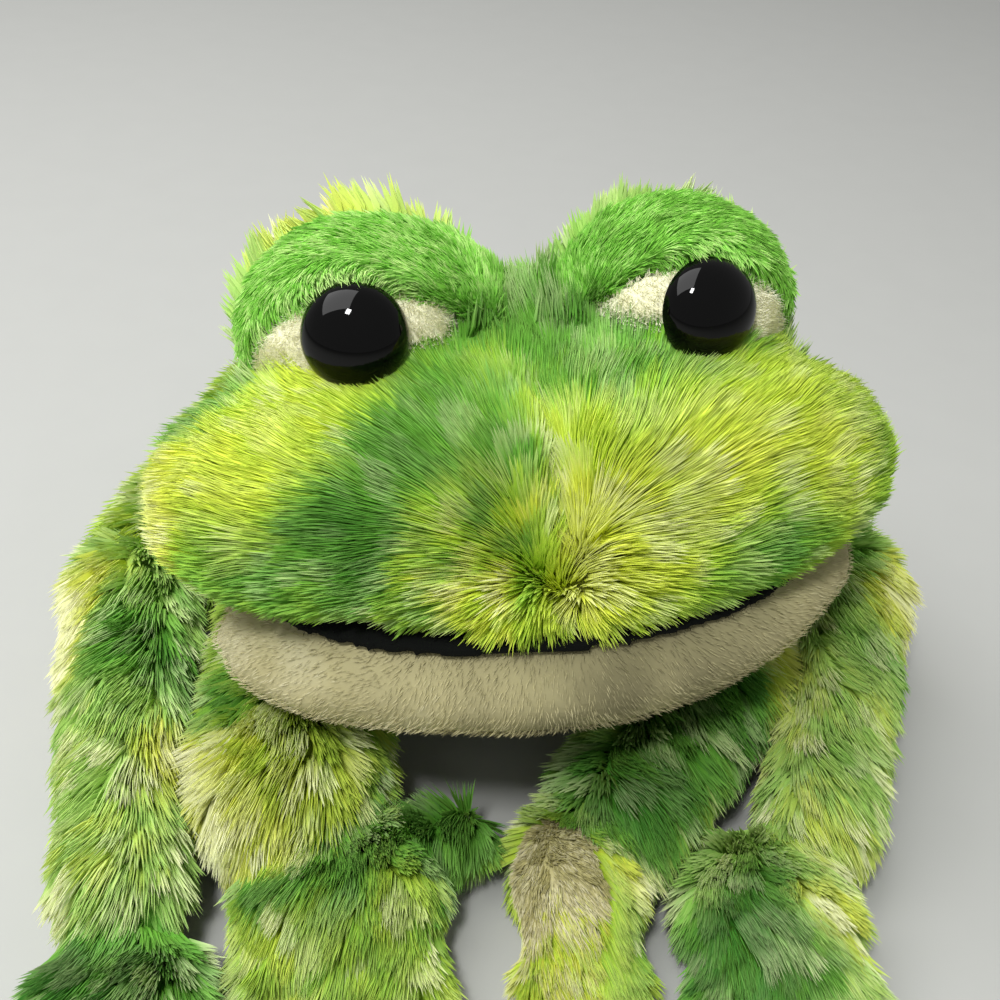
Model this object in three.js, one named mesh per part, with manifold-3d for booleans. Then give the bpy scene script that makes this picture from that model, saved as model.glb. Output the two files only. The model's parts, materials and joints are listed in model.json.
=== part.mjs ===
// A sitting plush frog: tie-dyed pile covers sewn over stuffing, with glossy safety eyes, a felt
// mouth, and bead bags low in the body and in the feet.
// Millimetres, +Z up, floor at z = 0. The frog faces -Y, so its own left side is +X.

import * as THREE from 'three';
import { mergeVertices } from 'three/addons/utils/BufferGeometryUtils.js';
import Module from 'manifold-3d';

const wasm = await Module();
wasm.setup();

// Driving dimensions
const CLOTH = 3;              // a cover: backing cloth and the pressed root of its pile
const SHORT_CLOTH = 2.2;      // the shorn cloth of the jaw
const SEAM = 0.3;             // between two pieces that lie against each other
const SWING_GAP = 1.2;        // between two pieces that turn against each other
const FELT = 2;
const EYE = { radius: 9, dome: 6.5, rim: 1.2, bevel: 0.4, sides: 16 };
const STEM = { radius: 2.2, groove: 1.65, length: 15, bare: 2, ribs: 2 };
const WASHER = { radius: 7.5, thick: 1.2, hub: 3.8, hubLong: 3, depth: 6.2 };
const SIDES_OF = [            // sides of a round form: up to this radius, outside, inside
  { upTo: 7, outside: 8, inside: 6 },
  { upTo: 18, outside: 12, inside: 8 },
  { upTo: 26, outside: 14, inside: 8 },
  { upTo: 99, outside: 18, inside: 10 },
];
const POST_SIDES = 12;

// The frog is moved back by this, so that its box is centred over the origin
const CENTRE = [3.37, -17.99, 0];

// Turns of the joints about +X, in degrees. A limb that hangs turns down from where it rests.
const HANG = 60;
const KNEE_BEND = 45;
const LOOK_UP = -15;

// Forms of the head, about the neck. A ball has a middle and radii, and may lean about Y.
const NECK = [4.6, 8.5, 61];
const HEAD_TURN = { yaw: 5, roll: -3 };
const LOBE = { at: [23, -36.5, 17.8], radii: [46.5, 32, 23.2] };
const CROWN = { at: [0, -14, 20], radii: [49, 27, 25] };
const MOUND = { at: [31.2, -13.5, 41.5], radii: [22.8, 20, 18.5], lean: 10 };
const JAW = { at: [0, -44, -6], radii: [63, 36, 17] };
const MUZZLE_SEAM = [0, -26, 0];
const JAW_OPENING = [0, -24, -3];
const MOUTH = { at: [0, -41, 0], across: 57, deep: 31.5, back: [0, -32, 0], sides: 32 };
const EYE_AIM = { out: 5, up: 23, seat: 18.8 };           // seat: from the mound's middle to the rim
const LID = { proud: 1.6, edge: 7, edgeTilt: -20, seamTilt: 25 };

const TORSO = [
  { at: [0, 50, 30], radii: [39, 44, 32] },
  { at: [0, 8, 27], radii: [29, 28, 22] },
];
const BELLY_TOP = 13;
const BEAD_BAG = { front: [0, 22, 0], top: 19 };

// Forms of the limbs. A sleeve runs between two middles, and is so thick round each of them.
const ARMS = {
  left: {
    arm: [
      { from: [42, -4, 26], to: [53, -28, 23], thick: [15, 13.5] },
      { from: [53, -28, 23], to: [27, -60, 15.5], thick: [13.5, 12] },
    ],
    hand: [
      { at: [15, -76, 12], radii: [13, 17, 12] },
      { from: [10, -85, 8], to: [7, -96, 7.5], thick: [5.6, 5] },
      { from: [15, -87, 8], to: [15, -99, 7.5], thick: [5.6, 5] },
      { from: [20, -85, 8], to: [23, -95, 7.5], thick: [5.6, 5] },
    ],
    palm: { at: [12, -77, 12], facing: [-0.75, -0.25, 0.6] },
    underTop: 13,
  },
  right: {
    arm: [{ from: [-41, 0, 25], to: [-43, -54, 17.9], thick: [15, 17.5] }],
    hand: [
      { at: [-31, -76, 11.5], radii: [20, 16, 11.5] },
      { from: [-19, -67, 12], to: [-6, -63, 12], thick: [6.6, 6] },
      { from: [-43, -84, 8], to: [-45.5, -94, 7.5], thick: [6.4, 6] },
      { from: [-31, -87, 8], to: [-32, -98, 7.5], thick: [6.4, 6] },
      { from: [-19, -84, 8], to: [-16, -95, 7.5], thick: [6.4, 6] },
    ],
    palm: { at: [-31, -76, 8], facing: [0, 0, -1] },
    underTop: 11,
  },
};

const LEGS = {
  left: {
    hip: [49, 58, 27],
    knee: [88, -6, 27],
    ankle: [69, -63, 14],
    foot: [
      { at: [54, -82, 10], radii: [17, 18, 10] },
      { from: [45, -90, 8], to: [41, -101, 7], thick: [6.4, 6] },
      { from: [54, -92, 8], to: [53, -104, 7], thick: [6.4, 6] },
      { from: [63, -89, 8], to: [66, -100, 7], thick: [6.4, 6] },
    ],
  },
  right: {
    hip: [-49, 58, 27],
    knee: [-81, -8, 27],
    ankle: [-73, -76, 14],
    foot: [
      { at: [-70, -99, 10], radii: [15, 19, 10] },
      { from: [-77, -110, 8], to: [-80, -121, 7], thick: [6.4, 6] },
      { from: [-70, -112, 8], to: [-70, -124, 7], thick: [6.4, 6] },
      { from: [-63, -110, 8], to: [-60, -120, 7], thick: [6.4, 6] },
    ],
  },
};
const THIGH_THICK = [21, 14.5];
const SHANK_THICK = [14, 11.5];
const KNEE_SLACK = 6;         // the thigh stops this far short of the knee, so that the shank can fold
const SOLE_TOP = 5;
const HOLLOW_FROM = 8;        // fingers and toes are thinner than this, and are pile right through

const COLOURS = {
  lime: '#9dbb3c', green: '#5f9b2f', lid: '#57a834', cream: '#d9d0b4', felt: '#141613',
  eye: '#0b0a0a', washer: '#e8e6df', filling: '#f1f0ea', beads: '#cfc9b8',
};
const ROUGHNESS = { eye: 0.08, washer: 0.4, beads: 0.7, cloth: 0.95 };

// Solids
const UP = new THREE.Vector3(0, 0, 1);
const LATHE_AXIS = new THREE.Vector3(0, 1, 0);
const vector = (p) => new THREE.Vector3(...p);
const degrees = THREE.MathUtils.degToRad;

// The closed solid of a geometry, with its faces turned outwards
function toSolid(geometry) {
  const bare = geometry.clone();
  bare.deleteAttribute('normal');
  bare.deleteAttribute('uv');
  const merged = mergeVertices(bare, 1e-4);
  const points = merged.attributes.position;
  const faces = [];
  for (let i = 0; i < merged.index.count; i += 3) {
    const [a, b, c] = [0, 1, 2].map((k) => merged.index.getX(i + k));
    if (a !== b && b !== c && a !== c) faces.push([a, b, c]);
  }
  if (volumeInside(points, faces) < 0) faces.forEach((face) => face.reverse());
  return new wasm.Manifold(new wasm.Mesh({
    numProp: 3,
    vertProperties: new Float32Array(points.array),
    triVerts: new Uint32Array(faces.flat()),
  }));
}

function volumeInside(points, faces) {
  const [a, b, c] = [0, 1, 2].map(() => new THREE.Vector3());
  let volume = 0;
  for (const face of faces) {
    [a, b, c].forEach((p, k) => p.fromBufferAttribute(points, face[k]));
    volume += a.dot(b.cross(c)) / 6;
  }
  return volume;
}

function toGeometry(solid) {
  const mesh = solid.getMesh();
  const geometry = new THREE.BufferGeometry();
  const points = new Float32Array(mesh.numVert * 3);
  for (let i = 0; i < mesh.numVert; i += 1) {
    for (let k = 0; k < 3; k += 1) points[i * 3 + k] = mesh.vertProperties[i * mesh.numProp + k];
  }
  geometry.setAttribute('position', new THREE.BufferAttribute(points, 3));
  geometry.setIndex(new THREE.BufferAttribute(new Uint32Array(mesh.triVerts), 1));
  geometry.computeVertexNormals();
  return geometry;
}

const joined = (solids) => solids.reduce((all, next) => all.add(next));
const without = (solid, cutters) => cutters.reduce((rest, cutter) => rest.subtract(cutter), solid);

// The main body of a solid, without the crumbs that a cut can leave
function mainBody(solid) {
  return solid.decompose().reduce((most, next) => (next.volume() > most.volume() ? next : most));
}

// The solid of a geometry whose axis is turned to a direction, and whose origin is put at a point
function aimed(geometry, axis, direction, at) {
  const turn = new THREE.Quaternion().setFromUnitVectors(axis, vector(direction).normalize());
  return toSolid(geometry.applyQuaternion(turn).translate(...at));
}

// An outer skin, and what is cut to clear it, has more sides than a lining
function sidesFor(radius, inset) {
  const row = SIDES_OF.find(({ upTo }) => radius <= upTo);
  return inset > 0 ? row.inside : row.outside;
}

function ball({ at, radii, lean = 0 }, inset = 0) {
  const sides = sidesFor(Math.max(...radii), inset);
  const geometry = new THREE.SphereGeometry(1, sides, Math.round(sides * 0.6));
  geometry.rotateX(Math.PI / 2);
  geometry.scale(...radii.map((radius) => radius - inset));
  geometry.rotateY(degrees(lean));
  return toSolid(geometry.translate(...at));
}

// Part of a round end, as points of a lathe profile. A point that should be on the axis is put there.
function arcPoints(radius, height, start, end, steps) {
  const points = [];
  for (let i = 0; i <= steps; i += 1) {
    const angle = THREE.MathUtils.lerp(start, end, i / steps);
    const across = radius * Math.cos(angle);
    points.push(new THREE.Vector2(across < 1e-6 ? 0 : across, height + radius * Math.sin(angle)));
  }
  return points;
}

function sleeve({ from, to, thick }, inset = 0) {
  const sides = sidesFor(Math.max(...thick), inset);
  const line = vector(to).sub(vector(from));
  const [low, high] = thick.map((radius) => radius - inset);
  const meet = Math.asin((low - high) / line.length());
  const steps = Math.round(sides / 4);
  const profile = [
    ...arcPoints(low, 0, -Math.PI / 2, meet, steps),
    ...arcPoints(high, line.length(), meet, Math.PI / 2, steps),
  ];
  return aimed(new THREE.LatheGeometry(profile, sides), LATHE_AXIS, line.toArray(), from);
}

function form(parts, inset = 0) {
  return joined(parts.map((part) => (part.radii ? ball : sleeve)(part, inset)));
}

// A block that fills everything past a plane, on the side that its normal points to
function beyond(at, normal, shift = SEAM / 2) {
  const size = 500;
  const block = new THREE.BoxGeometry(size, size, size).translate(0, 0, size / 2 + shift);
  return aimed(block, UP, normal, at);
}

const above = (height, shift) => beyond([0, 0, height], [0, 0, 1], shift);
const below = (height, shift) => beyond([0, 0, height], [0, 0, -1], shift);

// A round post along a direction, between two distances from a point
function post(at, direction, radius, from, to) {
  const geometry = new THREE.CylinderGeometry(radius, radius, to - from, POST_SIDES);
  return aimed(geometry.translate(0, (from + to) / 2, 0), LATHE_AXIS, direction, at);
}

// The space that a solid takes up at several turns about +X through a joint
function swept(solid, joint, turns) {
  return joined(turns.map((turn) => {
    const geometry = toGeometry(solid).translate(...joint.map((value) => -value));
    return toSolid(geometry.rotateX(degrees(turn)).translate(...joint));
  }));
}

const frog = new THREE.Group();
const head = new THREE.Group();
head.position.set(...NECK);
head.rotation.set(0, degrees(HEAD_TURN.roll), degrees(HEAD_TURN.yaw), 'ZYX');
head.updateMatrix();
frog.add(head);

function piece(group, name, solid, colour) {
  const roughness = ROUGHNESS[colour] ?? ROUGHNESS.cloth;
  const material = new THREE.MeshStandardMaterial({ color: COLOURS[colour], roughness, metalness: 0 });
  const mesh = new THREE.Mesh(toGeometry(mainBody(solid)), material);
  mesh.name = name;
  group.add(mesh);
}

// Head: two muzzle lobes, the crown behind them, and a mound under each eye
const SIDES = { left: 1, right: -1 };
const onSide = (part, side) => ({
  at: [part.at[0] * side, part.at[1], part.at[2]],
  radii: part.radii,
  lean: (part.lean ?? 0) * side,
});
const lobes = (inset = 0) => form([onSide(LOBE, 1), onSide(LOBE, -1)], inset);
const mound = (side, inset = 0) => ball(onSide(MOUND, side), inset);

function headForm(inset = 0) {
  return joined([ball(CROWN, inset), lobes(inset), mound(1, inset), mound(-1, inset)]);
}

// A direction in the upright plane of the face, so many degrees above straight ahead
const ahead = (tilt) => [0, -Math.cos(degrees(tilt)), Math.sin(degrees(tilt))];

// A point so far from the middle of an eye's mound
function fromMound(side, direction, distance) {
  return vector(onSide(MOUND, side).at).addScaledVector(vector(direction), distance).toArray();
}

// The front of a mound, ahead of the lid's rear seam and outside the muzzle, is the eye's own
function eyeRegion(side, gap) {
  return mound(side, -LID.proud - SEAM)
    .intersect(beyond(onSide(MOUND, side).at, ahead(LID.seamTilt), gap))
    .subtract(lobes(-gap));
}

// An eye. What it needs cut from the covers and from the stuffing is handed back.
function buildEye(name, side) {
  const aim = vector(ahead(EYE_AIM.up)).applyAxisAngle(UP, degrees(EYE_AIM.out * side)).toArray();
  const seat = fromMound(side, aim, EYE_AIM.seat);
  const domeRoom = post(seat, aim, EYE.radius + SEAM, -SEAM, EYE.dome * 2);
  const stemRoom = post(seat, aim, STEM.radius + SEAM, -STEM.length - STEM.bare, EYE.dome);
  const region = eyeRegion(side, SEAM / 2).subtract(headForm(CLOTH));
  const edge = fromMound(side, ahead(LID.edgeTilt), LID.edge);
  const pastEdge = (gap) => beyond(edge, ahead(LID.edgeTilt), gap);
  const lid = mound(side, -LID.proud).intersect(region).subtract(pastEdge(-SEAM / 2));
  const white = mound(side).intersect(region).intersect(pastEdge(SEAM / 2));
  piece(head, `eyelid_${name}`, without(lid, [domeRoom, stemRoom]), 'lid');
  piece(head, `eye_white_${name}`, without(white, [domeRoom, stemRoom]), 'cream');
  piece(head, `safety_eye_${name}`, safetyEye(seat, aim), 'eye');
  const washer = joined([
    post(seat, aim, WASHER.radius, -WASHER.depth - WASHER.thick, -WASHER.depth),
    post(seat, aim, WASHER.hub, -WASHER.depth - WASHER.hubLong, -WASHER.depth),
  ]);
  piece(head, `eye_washer_${name}`, washer.subtract(stemRoom), 'washer');
  const washerEnd = -WASHER.depth - WASHER.hubLong - SEAM;
  const washerRoom = post(seat, aim, WASHER.radius + SEAM, washerEnd, EYE.dome);
  return { domeRoom, inside: stemRoom.add(washerRoom) };
}

// A dome on a thin rim, with a ribbed stem that the washer grips
function safetyEye(seat, aim) {
  const profile = [[0, -STEM.length]];
  const pitch = (STEM.length - STEM.bare) / STEM.ribs;
  for (let i = 0; i < STEM.ribs; i += 1) {
    const start = -STEM.length + i * pitch;
    profile.push([STEM.groove, start], [STEM.radius, start + pitch * 0.8]);
  }
  const shoulder = EYE.radius - EYE.bevel;
  profile.push([STEM.groove, 0], [shoulder, 0], [EYE.radius, EYE.bevel], [EYE.radius, EYE.rim]);
  for (const { x, y } of arcPoints(1, 0, 0, Math.PI / 2, 5)) {
    profile.push([x * shoulder, EYE.rim + (EYE.dome - EYE.rim) * y]);
  }
  const points = profile.map(([across, height]) => new THREE.Vector2(across, height));
  return aimed(new THREE.LatheGeometry(points, EYE.sides), LATHE_AXIS, aim, seat);
}

function buildHead() {
  const overJaw = ball(JAW, -FELT - 2 * SEAM);
  const eyes = Object.entries(SIDES).map(([name, side]) => buildEye(name, side));
  const shell = without(headForm(), [
    headForm(CLOTH),
    overJaw,
    ...Object.values(SIDES).map((side) => eyeRegion(side, -SEAM / 2)),
    ...eyes.map((eye) => eye.domeRoom),
  ]);
  const face = shell.intersect(beyond(MUZZLE_SEAM, [0, -1, 0]));
  for (const [name, side] of Object.entries(SIDES)) {
    piece(head, `muzzle_cover_${name}`, face.intersect(beyond([0, 0, 0], [side, 0, 0])), 'lime');
  }
  piece(head, 'head_back_cover', shell.intersect(beyond(MUZZLE_SEAM, [0, 1, 0])), 'green');
  const filling = without(headForm(CLOTH + SEAM), [overJaw, ...eyes.map((eye) => eye.inside)]);
  piece(head, 'head_stuffing', filling, 'filling');
}

// The jaw is a padded panel, open behind. The felt lies over its top, short of the lip all round.
function buildMouth() {
  const behind = beyond(JAW_OPENING, [0, 1, 0], 0).intersect(beyond(JAW_OPENING, [0, 0, 1], 0));
  piece(head, 'jaw_panel', without(ball(JAW), [ball(JAW, SHORT_CLOTH), behind]), 'cream');
  piece(head, 'jaw_stuffing', ball(JAW, SHORT_CLOTH + SEAM), 'filling');
  const outline = new THREE.CylinderGeometry(1, 1, JAW.radii[2] * 4, MOUTH.sides);
  outline.rotateX(Math.PI / 2).scale(MOUTH.across, MOUTH.deep, 1).translate(...MOUTH.at);
  const felt = ball(JAW, -FELT - SEAM).subtract(ball(JAW, -SEAM)).intersect(toSolid(outline))
    .intersect(beyond(JAW.at, [0, 0, 1])).intersect(beyond(MOUTH.back, [0, -1, 0]));
  piece(head, 'mouth_felt', felt, 'felt');
}

// Torso, open where the head and the limbs are sewn on
function sockets() {
  const low = ball(CROWN, -SWING_GAP).add(ball(JAW, -SWING_GAP));
  const placed = toSolid(toGeometry(low).applyMatrix4(head.matrix));
  const neckRoom = swept(placed, NECK, [0, LOOK_UP]);
  const armRoom = Object.values(ARMS).map(({ arm }) => (
    swept(sleeve(arm[0], -SWING_GAP), arm[0].from, [0, HANG])
  ));
  const legRoom = Object.values(LEGS).map(({ hip, knee }) => (
    sleeve({ from: hip, to: knee, thick: THIGH_THICK }, -SWING_GAP)
  ));
  return [neckRoom, ...armRoom, ...legRoom];
}

function buildTorso() {
  const cutters = sockets();
  const inner = form(TORSO, CLOTH).intersect(above(CLOTH, 0));
  const shell = without(form(TORSO).intersect(above(0, 0)), [inner, ...cutters]);
  piece(frog, 'back_cover', shell.intersect(above(BELLY_TOP)), 'green');
  piece(frog, 'belly_panel', shell.intersect(below(BELLY_TOP)), 'cream');
  const room = without(form(TORSO, CLOTH + SEAM).intersect(above(CLOTH + SEAM, 0)), cutters);
  const bag = (gap) => beyond(BEAD_BAG.front, [0, 1, 0], gap).intersect(below(BEAD_BAG.top, gap));
  piece(frog, 'torso_bead_bag', room.intersect(bag(SEAM / 2)), 'beads');
  piece(frog, 'torso_stuffing', room.subtract(bag(-SEAM / 2)), 'filling');
}

// Limbs
const cover = (parts) => form(parts).intersect(above(0, 0));
const isHollow = (part) => part.radii || Math.max(...part.thick) > HOLLOW_FROM;
const lining = (parts, inset) => form(parts.filter(isHollow), inset).intersect(above(inset, 0));
const opposite = (direction) => direction.map((value) => -value);

// A hand or foot: its two covers part at a plane, round the filling
function buildPaw(parts, seam, names, inside) {
  const shell = cover(parts).subtract(lining(parts, CLOTH));
  piece(frog, names.back, shell.intersect(beyond(seam.at, opposite(seam.facing))), 'green');
  piece(frog, names.under, shell.intersect(beyond(seam.at, seam.facing)), 'cream');
  piece(frog, names.filling, lining(parts, CLOTH + SEAM), inside);
}

function buildArm(name, { arm, hand, palm, underTop }) {
  const handRoom = ball(hand[0], -SEAM);
  const shell = without(cover(arm), [lining(arm, CLOTH), handRoom]);
  piece(frog, `arm_cover_${name}`, shell.intersect(above(underTop)), 'lime');
  piece(frog, `arm_under_panel_${name}`, shell.intersect(below(underTop)), 'cream');
  piece(frog, `arm_stuffing_${name}`, lining(arm, CLOTH + SEAM).subtract(handRoom), 'filling');
  const names = { back: `hand_cover_${name}`, under: `palm_panel_${name}`, filling: `hand_stuffing_${name}` };
  buildPaw(hand, palm, names, 'filling');
}

function buildLeg(name, { hip, knee, ankle, foot }) {
  const thigh = [{ from: hip, to: knee, thick: THIGH_THICK }];
  const shank = [{ from: knee, to: ankle, thick: SHANK_THICK }];
  const way = vector(knee).sub(vector(hip)).normalize();
  const stop = vector(knee).addScaledVector(way, -KNEE_SLACK).toArray();
  const kneeRoom = swept(form(shank, -SWING_GAP), knee, [0, KNEE_BEND]).add(beyond(stop, way.toArray(), 0));
  piece(frog, `thigh_cover_${name}`, without(cover(thigh), [lining(thigh, CLOTH), kneeRoom]), 'green');
  piece(frog, `thigh_stuffing_${name}`, lining(thigh, CLOTH + SEAM).subtract(kneeRoom), 'filling');
  const footRoom = ball(foot[0], -SEAM);
  piece(frog, `shank_cover_${name}`, without(cover(shank), [lining(shank, CLOTH), footRoom]), 'lime');
  piece(frog, `shank_stuffing_${name}`, lining(shank, CLOTH + SEAM).subtract(footRoom), 'filling');
  const names = { back: `foot_cover_${name}`, under: `sole_panel_${name}`, filling: `foot_bead_bag_${name}` };
  buildPaw(foot, { at: [0, 0, SOLE_TOP], facing: [0, 0, -1] }, names, 'beads');
}

buildHead();
buildMouth();
buildTorso();
Object.entries(ARMS).forEach(([name, arm]) => buildArm(name, arm));
Object.entries(LEGS).forEach(([name, leg]) => buildLeg(name, leg));
frog.position.set(...CENTRE).negate();

export default frog;
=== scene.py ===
# Plush frog: long dyed pile, shorn cloth, felt and glossy eyes, dressed over its solids.
# Metres, in the frame of the solids: the frog faces -Y, its own left is +X, and the floor is z = 0.

import json
import math

import bmesh
import bpy
import numpy as np
from mathutils import Matrix, Vector, noise
from mathutils.bvhtree import BVHTree


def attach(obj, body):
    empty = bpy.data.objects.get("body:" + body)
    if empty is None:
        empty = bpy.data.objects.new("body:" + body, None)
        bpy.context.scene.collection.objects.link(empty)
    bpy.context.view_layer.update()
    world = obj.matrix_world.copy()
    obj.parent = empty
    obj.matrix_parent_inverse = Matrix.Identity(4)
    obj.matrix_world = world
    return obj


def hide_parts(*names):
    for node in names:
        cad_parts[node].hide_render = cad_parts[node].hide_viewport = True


bl_info = {
    "name": "Plush Frog",
    "version": (1, 0, 0),
    "blender": (4, 5, 0),
    "location": "3D View > Sidebar > Frog",
    "description": "Dresses a plush frog in dyed pile, shorn cloth, felt and glossy eyes",
    "category": "Object",
}

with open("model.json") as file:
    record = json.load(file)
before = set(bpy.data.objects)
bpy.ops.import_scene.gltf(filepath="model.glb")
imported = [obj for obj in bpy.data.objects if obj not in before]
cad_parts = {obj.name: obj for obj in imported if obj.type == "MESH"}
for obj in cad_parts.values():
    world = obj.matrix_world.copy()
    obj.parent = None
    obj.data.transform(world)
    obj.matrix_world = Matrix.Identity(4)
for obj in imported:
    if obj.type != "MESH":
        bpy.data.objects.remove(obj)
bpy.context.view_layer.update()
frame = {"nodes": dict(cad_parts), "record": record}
NODES = frame["nodes"]
BEHAVIOUR = frame["record"]["behaviour"]
BODY_OF = {node: body for body, nodes in BEHAVIOUR["bodies"].items() for node in nodes}
JOINT_AT = {joint["name"]: Vector(joint["pos_m"]) for joint in BEHAVIOUR["joints"]}
MM = 0.001
SIDES = {"left": 1, "right": -1}

# The head's own frame: its origin is the neck, and it is turned and tipped a little
HEAD_YAW = math.radians(5)
HEAD_ROLL = math.radians(-3)
HEAD = (Matrix.Translation(JOINT_AT["neck"]) @ Matrix.Rotation(HEAD_YAW, 4, "Z")
        @ Matrix.Rotation(HEAD_ROLL, 4, "Y"))

# Patches of dye: where and how wide in millimetres, and how far from deep green (0) to straw (1).
# Those of the head are in the head's frame.
HEAD_DYE = (
    (-44, -43, 38, 13, 0.62), (-35, -38, 40, 10, 0.64), (-26, -42, 40, 8, 0.6), (-63, -40, 29, 9, 0.8),
    (-62, -28, 34, 10, 0.2), (-53, -52, 31, 12, 0.7), (-66, -46, 20, 9, 0.88), (-54, -59, 18, 11, 0.26),
    (-44, -62, 20, 9, 0.24), (-36, -61, 31, 9, 0.1), (-31, -64, 25, 8, 0.06), (-33, -67, 17, 9, 0.28),
    (-21, -55, 36, 9, 0.16), (-15, -49, 39, 9, 0.2), (-20, -38, 41, 9, 0.26), (-9, -27, 41, 10, 0.2),
    (-19, -66, 26, 7, 0.5), (-12, -67, 17, 8, 0.74), (-8, -66, 22, 4, 0.3), (-22, -67, 12, 8, 0.4),
    (-5, -55, 35, 5, 0.14), (-8, -46, 39, 7, 0.3), (3, -61, 27, 7, 0.86), (3, -66, 17, 7, 0.9),
    (3, -52, 36, 7, 0.7), (12, -42, 41, 12, 0.22), (6, -25, 42, 11, 0.12), (20, -30, 42, 11, 0.2),
    (22, -52, 39, 10, 0.62), (38, -46, 39, 11, 0.6), (41, -54, 33, 13, 0.7), (52, -42, 35, 10, 0.54),
    (62, -47, 26, 11, 0.42), (27, -60, 33, 11, 0.72), (16, -62, 30, 9, 0.68), (13, -66, 20, 9, 0.68),
    (36, -66, 18, 10, 0.2), (30, -67, 12, 9, 0.36), (47, -60, 22, 10, 0.58), (12, -67, 10, 8, 0.5),
    (56, -50, 12, 10, 0.3), (-56, -54, 9, 10, 0.36), (35, -34, 41, 9, 0.24),
    (0, -14, 44, 11, 0.16), (2, -4, 46, 9, 0.2), (-47, 2, 56, 11, 0.9), (-30, 4, 62, 10, 0.8),
    (-14, 2, 53, 7, 0.88), (13, 3, 55, 7, 0.92), (32, 4, 62, 11, 0.34), (48, 2, 54, 9, 0.5),
    (-58, -12, 28, 13, 0.34), (-58, -20, 6, 14, 0.2), (58, -10, 26, 15, 0.5), (0, 12, 36, 20, 0.6),
    (-20, 10, 14, 14, 0.7), (26, 8, 10, 14, 0.22),
)
BODY_DYE = (
    (-44, 25, 40, 14, 0.3), (-46, -2, 38, 13, 0.4), (-56, -22, 32, 9, 0.26), (-44, -24, 38, 9, 0.5),
    (-62, -34, 26, 12, 1.1), (-50, -38, 31, 9, 0.62), (-39, -40, 30, 9, 0.6), (-57, -47, 24, 11, 1.05),
    (-46, -50, 22, 7, 0.74), (-46, -59, 20, 6, 0.12), (-34, -55, 20, 8, 0.16), (-26, -44, 22, 9, 0.2),
    (-58, -61, 16, 9, 0.58), (-12, -46, 16, 12, 0.16), (-8, -64, 16, 9, 0.06), (-46, -74, 13, 11, 0.5),
    (-30, -74, 12, 10, 0.4), (-26, -84, 14, 8, 0.2), (-34, -96, 8, 12, 0.7),
    (44, 8, 36, 14, 0.5), (58, -10, 32, 12, 0.72), (38, -20, 30, 14, 0.0),
    (26, -44, 26, 13, 0.02), (50, -30, 20, 10, 0.16), (62, -28, 18, 11, 0.64), (22, -56, 18, 7, 0.8),
    (36, -54, 16, 9, 0.5), (14, -82, 8, 12, 0.5), (2, -64, 12, 10, 0.6),
    (-74, 4, 42, 11, 0.34), (-98, 2, 26, 15, 1.1), (-92, -8, 34, 9, 1), (-80, -8, 34, 10, 0.1),
    (-76, -14, 24, 10, 0.14), (-62, 40, 40, 18, 0.5), (-82, -32, 28, 14, 0.5), (-78, -52, 22, 12, 0.54),
    (-88, -62, 18, 9, 0.62), (-66, -42, 20, 10, 0.36), (-74, -78, 14, 14, 0.04), (-72, -104, 8, 12, 0.3),
    (78, 12, 40, 11, 0.3), (100, 2, 26, 13, 1), (84, -8, 20, 12, 0.16), (90, 8, 40, 8, 0.9),
    (62, 44, 40, 18, 0.56), (80, -26, 30, 12, 0.56), (72, -36, 22, 10, 0.44), (68, -50, 22, 11, 0.62),
    (42, -70, 15, 15, 0), (58, -66, 16, 9, 0.7), (70, -74, 12, 11, 0.5), (48, -92, 8, 11, 0.3),
    (62, -96, 8, 9, 0.66),
    (0, 60, 60, 24, 0.4), (-20, 90, 40, 20, 0.66), (24, 84, 44, 20, 0.24), (0, 104, 20, 18, 0.5),
)
EYE_AIM = (5, 23)  # how far each eye looks outwards and upwards, in degrees
EYE_TURN = {"left": 12, "right": 0}  # how much further out each eye itself is turned, in degrees
EYE_SEAT = 18.8 * MM  # from the middle of an eye's mound to the seat of the eye
MOUND = (31.2, -13.5, 41.5)  # the middle of the left mound, in millimetres of the head's frame
EYE_SIDES = 64  # how many faces go round a safety eye
EYE_STEPS = 20  # how many go up its dome
# The ribbed stem of a safety eye: radius and height in millimetres, from its end to its seat
STEM = ((0, -15), (1.6, -15), (2.1, -9), (1.6, -8.8), (2.1, -3), (1.6, -2.8), (1.6, 0))

# How dye spreads, with lengths in millimetres
DYE_WANDER, DYE_PACE = 5, 14  # how far the patches' edges wander, and how slowly
PLAIN_DYE, PLAIN_WEIGHT = 0.45, 0.25  # the dye between the patches, and its weight against theirs
PATCH_WEIGHT = 3
PATCH_FALL = 2.4  # how fast a patch fades at its edge
DYE_MOTTLE = 0.06
DYE_ENDS = (0.02, 0.98)  # the ends of the palette that any dye keeps within

# Skins: how finely each is remeshed, and how far its filling may swell it
BROAD_VOXEL, TORSO_VOXEL, LIMB_VOXEL = 4 * MM, 4.5 * MM, 3.2 * MM
LID_VOXEL, FELT_VOXEL, FIBRE_VOXEL = 1.3 * MM, 1.1 * MM, 5 * MM
SWELL, LIMB_SWELL = 1.2 * MM, 1 * MM
CLOTH_FRAMES = 20
FIBRE_DEPTH = 3 * MM  # how far inside its cover the stuffing of the head or jaw lies
JAW_SUNK = 0.8 * MM  # how far the jaw's cloth lies inside the solid's skin
FLOOR_GAP = 0.4 * MM  # the least height of any strand
STRAND_BEND, STRAND_WAIST = 0.1, 0.42  # how far a strand is bowed, and where, as parts of its length
PILE_SHARES = ("Scatter", "Pull", "Softness", "Dye spread", "Tuft spread")
MUZZLE_ROOT = (0, -66, 5)  # the middle of the lip, in millimetres of the head's frame

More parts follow.
